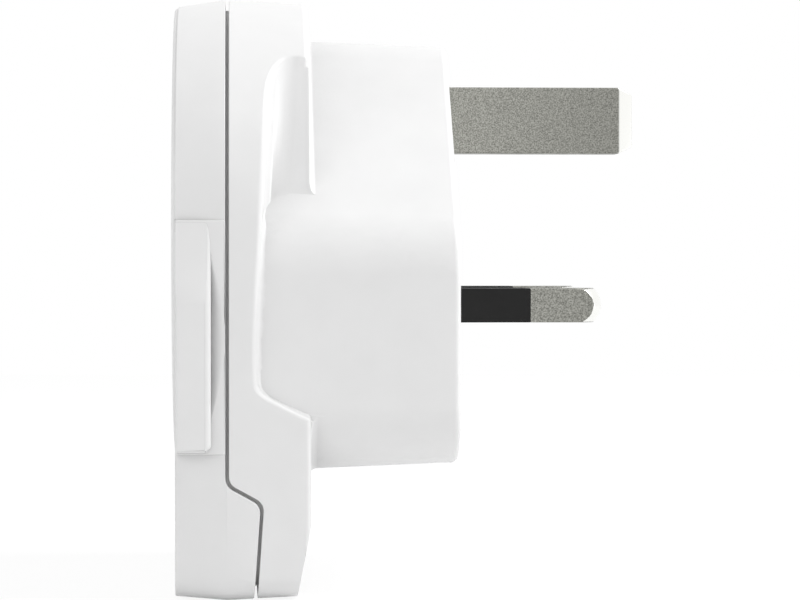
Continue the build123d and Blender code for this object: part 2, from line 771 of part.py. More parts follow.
def charger_board():
    board = block((board_x, board_back_x), (-board_half_width, board_half_width), (board_foot, board_top))
    for y in (-board_post_y, board_post_y):
        board -= rod(board_peg_radius + peg_clearance, (board_x, board_back_x), y, board_post_z)
    return board


def transformer():
    # laminated core with a rounded winding round its middle leg
    core = Box(transformer_depth, transformer_width, transformer_core)
    inset = 2 * winding_inset
    winding = Box(transformer_depth - inset, transformer_width - inset, transformer_height)
    winding = fillet(winding.edges().filter_by(Axis.Z), winding_inset)
    middle_x = board_back_x + transformer_depth / 2
    return Pos(middle_x, transformer_y, transformer_z) * (core + winding)


def capacitor(radius, length, y, z):
    can = rod(radius, (board_back_x, board_back_x + length), y, z)
    end = can.edges().sort_by(Axis.X)[-1]
    return chamfer(end, can_edge)


def supply_strips():
    # from the tails of the pole contacts to the back of the board
    strips = []
    for y, start_x in ((-pin_pitch / 2, link_back_x), (pin_pitch / 2, contact_back_x)):
        width = (y - strip_width / 2, y + strip_width / 2)
        level = (strip_z - strip_thickness, strip_z)
        strip = block((board_back_x, start_x - leaf_thickness), width, level)
        foot = (board_top - strip_overlap, strip_z)
        strips.append(strip + block((board_back_x, board_back_x + strip_thickness), width, foot))
    return strips


def usb_shell(y):
    # folded sheet sleeve, open at the mouth and at the back
    width = (y - usb_width / 2, y + usb_width / 2)
    inside = (width[0] + usb_sheet, width[1] - usb_sheet)
    shell = block((usb_front_x, board_x), width, (usb_mouth_z, usb_top_z))
    return shell - block((usb_front_x + usb_sheet, board_x - usb_sheet), inside, (usb_mouth_z, usb_top_z))


def usb_tongue(y):
    # insulating block that fills the back of the sleeve, with a tongue towards the mouth
    half = usb_width / 2 - usb_sheet
    limits = (usb_front_x + usb_sheet, board_x - usb_sheet)
    insert = block(limits, (y - half, y + half), (usb_top_z - usb_block, usb_top_z))
    depth = (tongue_front_x, tongue_front_x + tongue_thickness)
    width = (y - tongue_width / 2, y + tongue_width / 2)
    return insert + block(depth, width, (usb_mouth_z + tongue_setback, usb_top_z - usb_block))


def usb_terminals():
    # four flat terminals on the face of each tongue
    back_x = tongue_front_x
    top = usb_top_z - usb_block
    strips = []
    for middle in usb_places.values():
        for place in (-1.5, -0.5, 0.5, 1.5):
            y = middle + place * terminal_pitch
            width = (y - terminal_width / 2, y + terminal_width / 2)
            strips.append(block((back_x - terminal_thickness, back_x), width, (top - terminal_length, top)))
    return strips


def case_screws():
    screws = []
    for y in (-screw_y, screw_y):
        head = rod(screw_head_radius, (screw_seat_x, screw_seat_x + screw_head), y, screw_z)
        head -= drive_slot(y)
        screws.append(head + rod(screw_radius, (screw_tip_x, screw_seat_x), y, screw_z))
    return screws


def drive_slot(y):
    # cross slot in the head of a screw
    depth = (screw_seat_x + screw_head - slot_depth, screw_seat_x + screw_head)
    reach = screw_radius
    half = slot_width / 2
    slot = block(depth, (y - reach, y + reach), (screw_z - half, screw_z + half))
    return slot + block(depth, (y - half, y + half), (screw_z - reach, screw_z + reach))


nodes = {
    "front_shell": front_shell(),
    "socket_plate": socket_plate(),
    "contact_carrier": contact_carrier(),
    "shutter": shutter(),
    "shutter_spring": shutter_spring(),
    "line_contact": pole_contact(-1, link_back_x),
    "neutral_contact": pole_contact(1, contact_back_x),
    "earth_contact": socket_contact(0, earth_entry_z, contact_back_x),
    "rear_shell": rear_shell(),
    "earth_pin": earth_pin(),
    "line_pin": live_pin(-pin_pitch / 2, fuse_clip_x),
    "neutral_pin": live_pin(pin_pitch / 2, contact_back_x),
    "line_pin_sleeve": pin_sleeve(-pin_pitch / 2),
    "neutral_pin_sleeve": pin_sleeve(pin_pitch / 2),
    "fuse_carrier": fuse_carrier(),
    "fuse_tube": fuse_tube(),
    "fuse_caps": fuse_caps(),
    "line_fuse_clip": line_fuse_clip(),
    "load_fuse_clip": load_fuse_clip(),
    "charger_board": charger_board(),
    "transformer": transformer(),
    "input_capacitor": capacitor(input_cap_radius, input_cap_length, input_cap_y, transformer_z),
    "filter_capacitor": capacitor(filter_cap_radius, filter_cap_length, filter_cap_y, transformer_z),
    "output_capacitor": capacitor(output_cap_radius, output_cap_length, 0, output_cap_z),
    "supply_strips": supply_strips(),
    "usb_terminals": usb_terminals(),
    "case_screws": case_screws(),
}
for side, usb_y in usb_places.items():
    nodes["usb_shell_" + side] = usb_shell(usb_y)
    nodes["usb_tongue_" + side] = usb_tongue(usb_y)

os.makedirs("parts", exist_ok=True)
for name, made in nodes.items():
    shape = Compound(made) if isinstance(made, list) else made
    export_step(shape, f"parts/{name}.step")
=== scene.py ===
import json
import math

import bmesh
import bpy
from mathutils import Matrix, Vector
from mathutils.bvhtree import BVHTree


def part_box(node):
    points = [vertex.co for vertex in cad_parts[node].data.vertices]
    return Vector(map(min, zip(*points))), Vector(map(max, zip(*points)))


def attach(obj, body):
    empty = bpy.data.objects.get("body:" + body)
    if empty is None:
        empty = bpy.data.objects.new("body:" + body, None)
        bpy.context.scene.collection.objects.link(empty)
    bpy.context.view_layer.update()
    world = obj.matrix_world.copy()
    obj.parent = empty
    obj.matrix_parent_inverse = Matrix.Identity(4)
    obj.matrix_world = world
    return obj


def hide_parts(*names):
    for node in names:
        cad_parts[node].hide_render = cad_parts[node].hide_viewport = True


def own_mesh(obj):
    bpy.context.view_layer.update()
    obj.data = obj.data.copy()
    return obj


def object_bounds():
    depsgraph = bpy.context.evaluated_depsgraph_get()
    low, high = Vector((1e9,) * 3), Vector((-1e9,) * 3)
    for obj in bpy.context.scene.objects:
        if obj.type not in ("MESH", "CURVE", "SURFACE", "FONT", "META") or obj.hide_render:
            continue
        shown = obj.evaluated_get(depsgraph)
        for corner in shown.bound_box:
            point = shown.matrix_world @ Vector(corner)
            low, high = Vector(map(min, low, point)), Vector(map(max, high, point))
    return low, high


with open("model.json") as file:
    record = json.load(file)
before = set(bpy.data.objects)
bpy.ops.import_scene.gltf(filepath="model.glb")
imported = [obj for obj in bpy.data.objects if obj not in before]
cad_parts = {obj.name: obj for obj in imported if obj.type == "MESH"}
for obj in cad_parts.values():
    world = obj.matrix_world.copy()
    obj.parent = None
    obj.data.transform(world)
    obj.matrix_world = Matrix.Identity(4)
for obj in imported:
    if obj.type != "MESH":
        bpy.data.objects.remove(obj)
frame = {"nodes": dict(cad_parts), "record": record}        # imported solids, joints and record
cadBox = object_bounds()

scene = bpy.context.scene
scene.view_settings.view_transform = "Standard"
mm = 0.001
print("frame loaded:", len(frame["nodes"]), "nodes")


# camera where the photo was taken from
photoCamera = {
    "place": (-0.0255, -0.361, 0.0061),
    "yawRight": 3.17,        # degrees
    "pitchDown": 0.90,       # degrees
    "lens": 133.7,           # mm
    "sensor": 36.0,          # mm
    "clipStart": 0.01,
}


def placeCamera(settings):
    data = bpy.data.cameras.new("photoCamera")
    data.lens = settings["lens"]
    data.sensor_width = settings["sensor"]
    data.clip_start = settings["clipStart"]
    camera = bpy.data.objects.new("photoCamera", data)
    camera.location = settings["place"]
    tilt = math.radians(90 - settings["pitchDown"])
    camera.rotation_euler = (tilt, 0, -math.radians(settings["yawRight"]))
    scene.collection.objects.link(camera)
    scene.camera = camera


placeCamera(photoCamera)
print("camera placed")


# studio: white surroundings for camera and mirror rays, plain soft light for the rest
studio = {
    "skyLevel": 0.54,        # as a light
    "backdropLevel": 1.0,    # as seen
    "floorColour": 0.84,     # as a light
    "floorShade": 0.14,      # as seen, the part that a shadow can take away
    "floorGlow": 0.89,       # as seen, the part that stays
    "floorSize": 1.2,
    "lamps": {
        "keyLamp": {"place": (0.50, -0.05, 0.55), "size": 0.50, "level": 0.60},
        "lowLamp": {"place": (0.45, -0.12, -0.02), "size": 0.024, "level": 0.065},
        "fillLamp": {"place": (-0.60, -0.40, 0.30), "size": 0.50, "level": 0.155},
    },
}


def seenDirectly(tree):
    path = tree.nodes.new("ShaderNodeLightPath")
    total = path.outputs["Is Camera Ray"]
    for name in ("Is Glossy Ray", "Is Transmission Ray"):
        add = tree.nodes.new("ShaderNodeMath")
        add.operation = "ADD"
        add.use_clamp = True
        tree.links.new(total, add.inputs[0])
        tree.links.new(path.outputs[name], add.inputs[1])
        total = add.outputs[0]
    return total


def mixBySight(tree, asLight, asSeen, outputKind):
    mix = tree.nodes.new("ShaderNodeMixShader")
    output = tree.nodes.new(outputKind)
    tree.links.new(seenDirectly(tree), mix.inputs[0])
    tree.links.new(asLight, mix.inputs[1])
    tree.links.new(asSeen, mix.inputs[2])
    tree.links.new(mix.outputs[0], output.inputs[0])


def addBackground(tree, level):
    background = tree.nodes.new("ShaderNodeBackground")
    background.inputs["Strength"].default_value = level
    background.inputs["Color"].default_value = (1, 1, 1, 1)
    return background.outputs[0]


def addDiffuse(tree, grey):
    diffuse = tree.nodes.new("ShaderNodeBsdfDiffuse")
    diffuse.inputs["Color"].default_value = (grey, grey, grey, 1)
    return diffuse.outputs[0]


def makeSky(settings):
    world = bpy.data.worlds.new("studioSky")
    world.use_nodes = True
    scene.world = world
    tree = world.node_tree
    tree.nodes.clear()
    light = addBackground(tree, settings["skyLevel"])
    backdrop = addBackground(tree, settings["backdropLevel"])
    mixBySight(tree, light, backdrop, "ShaderNodeOutputWorld")


def makeFloor(settings, level):
    material = bpy.data.materials.new("paleFloor")
    material.use_nodes = True
    tree = material.node_tree
    tree.nodes.clear()
    plain = addDiffuse(tree, settings["floorColour"])
    glow = tree.nodes.new("ShaderNodeEmission")
    glow.inputs["Strength"].default_value = settings["floorGlow"]
    seen = tree.nodes.new("ShaderNodeAddShader")
    tree.links.new(addDiffuse(tree, settings["floorShade"]), seen.inputs[0])
    tree.links.new(glow.outputs[0], seen.inputs[1])
    mixBySight(tree, plain, seen.outputs[0], "ShaderNodeOutputMaterial")
    half = settings["floorSize"] / 2
    outline = ((-half, -half), (half, -half), (half, half), (-half, half))
    mesh = bpy.data.meshes.new("studioFloor")
    mesh.from_pydata([(x, y, level) for x, y in outline], [], [(0, 1, 2, 3)])
    mesh.materials.append(material)
    floor = bpy.data.objects.new("studioFloor", mesh)
    scene.collection.objects.link(floor)


def addLamp(name, look, target):
    data = bpy.data.lights.new(name, "AREA")
    data.shape = "DISK"
    data.size = look["size"]
    reach = Vector(target) - Vector(look["place"])
    data.energy = look["level"] * 4 * math.pi * reach.length_squared
    lamp = bpy.data.objects.new(name, data)
    lamp.location = look["place"]
    lamp.rotation_euler = reach.to_track_quat("-Z", "Y").to_euler()
    scene.collection.objects.link(lamp)


middle = (cadBox[0] + cadBox[1]) / 2
makeSky(studio)
makeFloor(studio, cadBox[0].z)
for lampName, lampLook in studio["lamps"].items():
    addLamp(lampName, lampLook, middle)
print("studio lit")


# finishes, all on object coordinates
noiseSpan = (0.3, 0.7)       # middle of a noise's range, where most of its values lie
cloudDetail = 2.0
grainDetail = 3.0


def newFinish(name):
    material = bpy.data.materials.new(name)
    material.use_nodes = True
    tree = material.node_tree
    shader = tree.nodes["Principled BSDF"]
    coords = tree.nodes.new("ShaderNodeTexCoord").outputs["Object"]
    return material, tree, shader, coords


def addNoise(tree, coords, scale, detail):
    noise = tree.nodes.new("ShaderNodeTexNoise")
    noise.inputs["Scale"].default_value = scale
    noise.inputs["Detail"].default_value = detail
    tree.links.new(coords, noise.inputs["Vector"])
    return noise.outputs["Fac"]


def addStretch(tree, coords, stretch):
    mapping = tree.nodes.new("ShaderNodeMapping")
    mapping.inputs["Scale"].default_value = stretch
    tree.links.new(coords, mapping.inputs["Vector"])
    return mapping.outputs["Vector"]


def addRange(tree, value, given, wanted):
    ranged = tree.nodes.new("ShaderNodeMapRange")
    names = ("From Min", "From Max", "To Min", "To Max")
    for name, number in zip(names, (*given, *wanted)):
        ranged.inputs[name].default_value = number
    tree.links.new(value, ranged.inputs["Value"])
    return ranged.outputs["Result"]


def addTint(tree, value, dark, light):
    ramp = tree.nodes.new("ShaderNodeValToRGB")
    for stop, place, colour in zip(ramp.color_ramp.elements, noiseSpan, (dark, light)):
        stop.position = place
        stop.color = (*colour, 1)
    tree.links.new(value, ramp.inputs["Fac"])
    return ramp.outputs["Color"]


def addProduct(tree, colour, factor):
    mix = tree.nodes.new("ShaderNodeMix")
    mix.data_type = "RGBA"
    mix.blend_type = "MULTIPLY"
    mix.inputs["Factor"].default_value = 1.0
    tree.links.new(colour, mix.inputs["A"])
    tree.links.new(factor, mix.inputs["B"])
    return mix.outputs["Result"]


def addBump(tree, shader, height, strength, depth):
    bump = tree.nodes.new("ShaderNodeBump")
    bump.inputs["Strength"].default_value = strength
    bump.inputs["Distance"].default_value = depth
    tree.links.new(height, bump.inputs["Height"])
    tree.links.new(bump.outputs["Normal"], shader.inputs["Normal"])


# painted shade: an ambient occlusion node darkens the base colour in hollows, creases and corners
def addHollowShade(tree, colour, shade):
    hollow = tree.nodes.new("ShaderNodeAmbientOcclusion")
    hollow.only_local = True
    hollow.samples = shade["samples"]
    hollow.inputs["Distance"].default_value = shade["reach"]
    factor = addRange(tree, hollow.outputs["AO"], shade["span"], (1 - shade["depth"], 1))
    return addProduct(tree, colour, factor)


def addAlongX(tree, output):
    split = tree.nodes.new("ShaderNodeSeparateXYZ")
    tree.links.new(tree.nodes["Texture Coordinate"].outputs[output], split.inputs[0])
    return split.outputs["X"]


def addFade(tree, colour, fade):
    factor = addRange(tree, addAlongX(tree, "Object"), fade["places"], fade["levels"])
    return addProduct(tree, colour, factor)


def addPolishedTip(tree, shader, tint, tip):
    polish = addRange(tree, addAlongX(tree, "Normal"), tip["facing"], (0, 1))
    colour = tree.nodes.new("ShaderNodeMix")
    colour.data_type = "RGBA"
    colour.inputs["B"].default_value = (*tip["colour"], 1)
    tree.links.new(polish, colour.inputs["Factor"])
    tree.links.new(tint, colour.inputs["A"])
    tree.links.new(colour.outputs["Result"], shader.inputs["Base Color"])
    rough = tree.nodes.new("ShaderNodeMix")
    rough.inputs["B"].default_value = tip["roughness"]
    tree.links.new(polish, rough.inputs["Factor"])
    tree.links.new(shader.inputs["Roughness"].links[0].from_socket, rough.inputs["A"])
    tree.links.new(rough.outputs["Result"], shader.inputs["Roughness"])


def makeFinish(name, look):
    material, tree, shader, coords = newFinish(name)
    coords = addStretch(tree, coords, look.get("stretch", (1, 1, 1)))
    cloud = addNoise(tree, coords, look["cloudScale"], cloudDetail)
    grain = addNoise(tree, coords, look["grainScale"], grainDetail)
    speckle = grain if look.get("speckled") else cloud
    tint = addTint(tree, speckle, look["dark"], look["light"])
    # painted shade in the hollows, multiplied into the base colour
    if "hollowShade" in look:
        tint = addHollowShade(tree, tint, look["hollowShade"])
    if "fade" in look:
        tint = addFade(tree, tint, look["fade"])
    tree.links.new(tint, shader.inputs["Base Color"])
    roughness = addRange(tree, cloud, noiseSpan, look["roughness"])
    tree.links.new(roughness, shader.inputs["Roughness"])
    if "tip" in look:
        addPolishedTip(tree, shader, tint, look["tip"])
    shader.inputs["Metallic"].default_value = look.get("metallic", 0.0)
    shader.inputs["Specular IOR Level"].default_value = look.get("specular", 0.5)
    addBump(tree, shader, grain, look["bump"], look["bumpDepth"])
    return material


finishLooks = {
    "shell_plastic": {
        "dark": (0.815, 0.815, 0.815), "light": (0.835, 0.835, 0.835),
        "roughness": (0.36, 0.44), "cloudScale": 180, "grainScale": 5200,
        "bump": 0.10, "bumpDepth": 0.02 * mm,
        # hollowShade is painted shade: the base colour darkens by up to depth where the surface is
        # hemmed in
        "hollowShade": {"reach": 8 * mm, "depth": 0.20, "span": (0.50, 0.90), "samples": 8},
    },
    "inner_plastic": {
        "dark": (0.71, 0.71, 0.68), "light": (0.77, 0.77, 0.74),
        "roughness": (0.40, 0.50), "cloudScale": 220, "grainScale": 4200,
        "bump": 0.12, "bumpDepth": 0.02 * mm,
    },
    "sleeve_plastic": {
        "dark": (0.006, 0.006, 0.006), "light": (0.010, 0.010, 0.010),
        "roughness": (0.45, 0.58), "cloudScale": 300, "grainScale": 6000,
        "bump": 0.15, "bumpDepth": 0.02 * mm, "specular": 0.25,
    },
    "pin_metal": {
        "dark": (0.150, 0.150, 0.134), "light": (0.46, 0.46, 0.42),
        "roughness": (0.34, 0.46), "cloudScale": 400, "grainScale": 6400,
        "bump": 0.20, "bumpDepth": 0.02 * mm, "metallic": 1.0, "speckled": True,
        "fade": {"places": (2 * mm, 20 * mm), "levels": (1.10, 0.86)},      # root to tip
        "tip": {"colour": (0.93, 0.93, 0.90), "roughness": 0.16, "facing": (0.15, 0.40)},
    },
    "contact_metal": {
        "dark": (0.66, 0.43, 0.17), "light": (0.78, 0.56, 0.26),
        "roughness": (0.24, 0.38), "cloudScale": 260, "grainScale": 2600,
        "bump": 0.10, "bumpDepth": 0.01 * mm, "metallic": 1.0, "stretch": (0.15, 1, 1),
    },
    "steel": {
        "dark": (0.50, 0.51, 0.52), "light": (0.62, 0.63, 0.64),
        "roughness": (0.22, 0.34), "cloudScale": 260, "grainScale": 3200,
        "bump": 0.10, "bumpDepth": 0.01 * mm, "metallic": 1.0, "stretch": (1, 1, 0.12),
    },
    "usb_plastic": {
        "dark": (0.015, 0.015, 0.017), "light": (0.024, 0.024, 0.027),
        "roughness": (0.40, 0.52), "cloudScale": 400, "grainScale": 5200,
        "bump": 0.12, "bumpDepth": 0.02 * mm,
    },
    "fuse_ceramic": {
        "dark": (0.74, 0.71, 0.64), "light": (0.82, 0.79, 0.72),
        "roughness": (0.22, 0.36), "cloudScale": 500, "grainScale": 3600,
        "bump": 0.10, "bumpDepth": 0.02 * mm,
    },
    "board_laminate": {
        "dark": (0.040, 0.190, 0.075), "light": (0.058, 0.250, 0.105),
        "roughness": (0.24, 0.34), "cloudScale": 320, "grainScale": 1800,
        "bump": 0.12, "bumpDepth": 0.02 * mm,
    },
    "winding": {
        "dark": (0.095, 0.086, 0.078), "light": (0.145, 0.132, 0.120),
        "roughness": (0.30, 0.42), "cloudScale": 300, "grainScale": 1500,
        "bump": 0.15, "bumpDepth": 0.03 * mm, "stretch": (1, 1, 6),
    },
    "capacitor_can": {
        "dark": (0.068, 0.077, 0.103), "light": (0.092, 0.103, 0.137),
        "roughness": (0.28, 0.40), "cloudScale": 300, "grainScale": 3000,
        "bump": 0.08, "bumpDepth": 0.02 * mm,
    },
}
finishes = {slot: makeFinish(slot, look) for slot, look in finishLooks.items()}
slotOf = {part["node"]: part["material_slot"] for part in frame["record"]["subparts"]}
print("finishes made:", len(finishes))

for name, node in frame["nodes"].items():
    node.data.materials.clear()
    node.data.materials.append(finishes[slotOf[name]])
print("nodes dressed")


# pieces with eased edges: welded copies of their nodes
easing = {
    "weld": 0.002 * mm,          # points nearer than this become one
    "flatAngle": 0.4,            # degrees, faces that turn less become one
    "room": 1.5,                 # widths of the ease that an edge needs beside it
    "segments": 2,
    "profile": 0.5,              # round
    "sightLines": 60,            # tried from an edge, to see whether it shows
    "sightLift": 0.03 * mm,
    "sightSlope": 0.15,
    "sharpAngle": 52,            # degrees, edges that stay sharp in the shading
    "creaseAngle": 2,            # degrees, on the parts that stand proud
    "creaseArea": 4 * mm * mm,   # least size of both faces beside a crease
    "normalWeight": 60,
}
bodies = frame["record"]["behaviour"]["bodies"]
bodyOf = {node: body for body, nodes in bodies.items() for node in nodes}
skinNodes = (
    "front_shell", "rear_shell", "socket_plate", "fuse_carrier", "shutter", "contact_carrier",
)


def spreadRays(count):
    rays = []
    turn = math.pi * (3 - math.sqrt(5))      # golden angle
    for i in range(count):
        height = 1 - 2 * (i + 0.5) / count
        reach = math.sqrt(1 - height * height)
        rays.append(Vector((reach * math.cos(turn * i), reach * math.sin(turn * i), height)))
    return rays


def joinedSkin(names):
    joined = bmesh.new()
    for name in names:
        joined.from_mesh(frame["nodes"][name].data)
    skin = BVHTree.FromBMesh(joined)
    joined.free()
    return skin


def edgeShows(edge, skin, rays):
    outward = (edge.link_faces[0].normal + edge.link_faces[1].normal).normalized()
    start = (edge.verts[0].co + edge.verts[1].co) / 2 + outward * easing["sightLift"]
    for ray in rays:
        if ray.dot(outward) > easing["sightSlope"] and skin.ray_cast(start, ray)[0] is None:
            return True
    return False


def standsBeyond(edge, beyond):
    return min(abs(end.co.y) for end in edge.verts) > beyond * mm


def keepCreases(mesh, beyond):
    bm = bmesh.new()
    bm.from_mesh(mesh)
    least = math.radians(easing["creaseAngle"])
    for edge in bm.edges:
        broad = min(face.calc_area() for face in edge.link_faces) > easing["creaseArea"]
        if standsBeyond(edge, beyond) and broad and edge.calc_face_angle(0) > least:
            edge.smooth = False
    bm.to_mesh(mesh)
    bm.free()


def smoothNormals(piece, creaseBeyond):
    piece.data.shade_smooth()
    piece.data.set_sharp_from_angle(angle=math.radians(easing["sharpAngle"]))
    keepCreases(piece.data, creaseBeyond)
    weighted = piece.modifiers.new("weighted", "WEIGHTED_NORMAL")
    weighted.keep_sharp = True
    weighted.weight = easing["normalWeight"]
    depsgraph = bpy.context.evaluated_depsgraph_get()
    finished = bpy.data.meshes.new_from_object(piece.evaluated_get(depsgraph))
    piece.modifiers.clear()
    plain = piece.data
    piece.data = finished
    bpy.data.meshes.remove(plain)
    finished.name = piece.name


def weldedNode(nodeName):
    bm = bmesh.new()
    bm.from_mesh(frame["nodes"][nodeName].data)
    bmesh.ops.remove_doubles(bm, verts=bm.verts, dist=easing["weld"])
    flat = math.radians(easing["flatAngle"])
    bmesh.ops.dissolve_limit(bm, angle_limit=flat, verts=bm.verts, edges=bm.edges)
    bm.normal_update()
    return bm


def roomBeside(edge):
    start = edge.verts[0].co
    along = (edge.verts[1].co - start).normalized()
    widths = []
    for face in edge.link_faces:
        reaches = [v.co - start for v in face.verts]
        widths.append(max((reach - along * reach.dot(along)).length for reach in reaches))
    return min(widths)


def edgesToEase(bm, look, skin, rays):
    least = math.radians(look["sharper"])
    room = easing["room"] * look["ease"] * mm
    edges = [edge for edge in bm.edges if edge.is_convex and edge.calc_face_angle(0) > least]
    edges = [edge for edge in edges if roomBeside(edge) > room]
    return [edge for edge in edges if edgeShows(edge, skin, rays)]


def easedCopy(look, skin, rays):
    bm = weldedNode(look["node"])
    edges = edgesToEase(bm, look, skin, rays)
    proud = [edge for edge in edges if standsBeyond(edge, look["proudBeyond"])]
    others = [edge for edge in edges if not standsBeyond(edge, look["proudBeyond"])]
    for chosen, width in ((proud, look["proudEase"]), (others, look["ease"])):
        bmesh.ops.bevel(
            bm, geom=[edge for edge in chosen if edge.is_valid], offset=width * mm,
            offset_type="OFFSET", segments=easing["segments"],
            profile=easing["profile"], affect="EDGES", clamp_overlap=False)
    for strip in look["strips"]:
        plain = weldedNode(look["node"])
        addStrips(bm, strip["rows"](plain, strip))
        plain.free()
    mesh = bpy.data.meshes.new(look["name"])
    bm.to_mesh(mesh)
    bm.free()
    if "custom_normal" in mesh.attributes:
        mesh.attributes.remove(mesh.attributes["custom_normal"])
    mesh.materials.clear()
    mesh.materials.append(finishes[slotOf[look["node"]]])
    piece = bpy.data.objects.new(look["name"], mesh)
    scene.collection.objects.link(piece)
    smoothNormals(piece, look["proudBeyond"])
    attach(piece, bodyOf[look["node"]])
    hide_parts(look["node"])
    print(look["name"], "eased edges:", len(edges), "faces:", len(piece.data.polygons))


# closed strips laid on the casings, worked out on the -Y side and mirrored; sizes in mm
probeStart = -30                 # outside the case


def skinAt(skin, x, z):
    return skin.ray_cast(Vector((x, probeStart, z)) * mm, Vector((0, 1, 0)))[0].y / mm


def spread(low, high, count):
    return [low + (high - low) * i / count for i in range(count + 1)]


def addStrips(bm, rows):
    for side in (1, -1):
        strip = bmesh.new()
        made = [[strip.verts.new((p.x, p.y * side, p.z)) for p in row] for row in rows]
        for low, high in zip(made, made[1:]):
            for i in range(len(low)):
                j = (i + 1) % len(low)
                strip.faces.new((low[i], low[j], high[j], high[i]))
        strip.faces.new(made[0])
        strip.faces.new(made[-1])
        bmesh.ops.recalc_face_normals(strip, faces=strip.faces)
        mesh = bpy.data.meshes.new("strip")
        strip.to_mesh(mesh)
        strip.free()
        bm.from_mesh(mesh)
        bpy.data.meshes.remove(mesh)


# rounded rear rim of the finger pad
def rimRows(plain, look):
    skin = BVHTree.FromBMesh(plain)
    width = look["rear"] - look["front"]
    rows = []
    for along in spread(look["low"], look["high"], look["stations"]):
        toEnd = min(along - look["low"], look["high"] - along, look["endRound"]) / look["endRound"]
        roundness = math.sqrt(max(0, 1 - (1 - toEnd) ** 2))
        reach = width * (look["endWidth"] + (1 - look["endWidth"]) * roundness)
        face = skinAt(skin, look["front"] - look["faceInset"], along)
        bed = skinAt(skin, look["rear"], along) + look["bedSink"]
        hidden = look["front"] - look["lap"]
        loop = [(hidden, face + look["lapSink"])]
        for turn in spread(0, math.pi / 2, look["steps"]):
            out = look["front"] + reach * math.sin(turn)
            loop.append((out, face + look["drop"] * (1 - math.cos(turn))))
        loop += [(look["front"] + reach, bed), (hidden, bed)]
        rows.append([Vector((x, y, along)) * mm for x, y in loop])
    return rows


padRim = {
    "rows": rimRows, "front": -28.98, "rear": -28.25, "drop": 0.55, "low": -16.0, "high": 9.3,
    "endRound": 0.6, "endWidth": 0.4, "stations": 84, "steps": 8,
    "faceInset": 0.2, "lap": 0.07, "lapSink": 0.06, "bedSink": 0.3,
}


# rounded bed of the scoop behind the finger pad
def bedRows(plain, look):
    skin = BVHTree.FromBMesh(plain)
    rim, flat = look["rim"], look["flat"]
    rows = []
    for along in spread(look["low"], look["high"], look["stations"]):
        scan = spread(rim, look["edge"], look["scanSteps"])
        inScoop = [x for x in scan if skinAt(skin, x, along) - flat > look["leastDepth"]]
        border = max(inScoop, default=rim)
        if border - rim < look["leastWidth"]:
            continue
        depth = skinAt(skin, rim, along) - flat
        curve = look["share"] * depth / (border - rim) ** look["power"]
        top, under = [], []
        for x in spread(rim, border + look["lap"], look["steps"]):
            floor = skinAt(skin, x, along) - flat
            soft = curve * max(0, border - x) ** look["power"] - look["proud"]
            top.append((x, flat + min(soft, floor - look["proud"])))
            under.append((x, flat + floor + look["sink"]))
        rows.append([Vector((x, y, along)) * mm for x, y in top + under[::-1]])
    return rows


scoopBed = {
    "rows": bedRows, "flat": -28.25, "rim": -28.5, "edge": -26.66, "low": -14.0, "high": 8.5,
    "lap": 0.15, "proud": 0.005, "sink": 0.15, "share": 0.60, "power": 1.5,
    "leastDepth": 0.01, "leastWidth": 0.25, "scanSteps": 80, "stations": 90, "steps": 14,
}


# blend where the plug's flank rises from the wall of the finger recess
def cornerPath(bm, look):
    least = math.radians(look["innerAngle"])
    inner = [e for e in bm.edges if not e.is_convex and e.calc_face_angle(0) > least]
    inner = [e for e in inner if max(v.co.y for v in e.verts) < look["sideBeyond"] * mm]
    ends = {v for e in inner for v in e.verts}
    first = min(ends, key=lambda v: (v.co - Vector(look["start"]) * mm).length)
    last = min(ends, key=lambda v: (v.co - Vector(look["end"]) * mm).length)
    chosen = set(inner)
    cameBy = {first: None}
    queue = [first]
    while queue:
        at = queue.pop(0)
        for edge in at.link_edges:
            other = edge.other_vert(at)
            if edge in chosen and other not in cameBy:
                cameBy[other] = edge
                queue.append(other)
    stations = []
    at = last
    while cameBy[at]:
        edge = cameBy[at]
        normals = [face.normal.copy() for face in edge.link_faces]
        plug, wall = sorted(normals, key=lambda n: n.x)
        stations.append(((edge.verts[0].co + edge.verts[1].co) / 2, plug, wall))
        at = edge.other_vert(at)
    return stations[::-1]


def evenStations(stations, step):
    lengths = [0.0]
    for a, b in zip(stations, stations[1:]):
        lengths.append(lengths[-1] + (b[0] - a[0]).length)
    total = lengths[-1]
    even = []
    for want in spread(0, total, int(total / step)):
        j = max(k for k in range(len(lengths) - 1) if lengths[k] <= want)
        share = min((want - lengths[j]) / (lengths[j + 1] - lengths[j]), 1)
        even.append([a.lerp(b, share) for a, b in zip(stations[j], stations[j + 1])] + [want])
    return even, total


def blendLoop(skin, corner, plug, wall, size, look):
    alongPlug = (wall - plug * wall.dot(plug)).normalized()
    upWall = (plug - wall * plug.dot(wall)).normalized()
    top, topNormal = skin.find_nearest(corner + upWall * (look["upWall"] * size))[:2]
    foot, footNormal = skin.find_nearest(corner + alongPlug * (look["alongPlug"] * size))[:2]
    down = corner - top
    down = (down - topNormal * down.dot(topNormal)).normalized()
    pull = (top - foot).length * look["pull"]
    handles = (top, top + down * pull, foot - alongPlug * pull, foot)
    sink = look["sink"] * mm
    loop = [top - topNormal * sink]
    for t in spread(0, 1, look["steps"]):
        weights = ((1 - t) ** 3, 3 * t * (1 - t) ** 2, 3 * t * t * (1 - t), t ** 3)
        loop.append(sum((h * w for h, w in zip(handles, weights)), Vector()))
    loop.append(foot - footNormal * sink)
    loop.append(corner - (plug + wall) * look["cornerSink"] * mm)
    return loop


def blendRows(plain, look):
    skin = BVHTree.FromBMesh(plain)
    stations, total = evenStations(cornerPath(plain, look), look["spacing"] * mm)
    rows = []
    for corner, plug, wall, along in stations:
        growing = look["endSize"] + along / (look["fadeIn"] * mm)
        shrinking = look["endSize"] + (total - along) / (look["fadeOut"] * mm)
        size = min(1, growing, shrinking) * mm
        rows.append(blendLoop(skin, corner, plug.normalized(), wall.normalized(), size, look))
    return rows


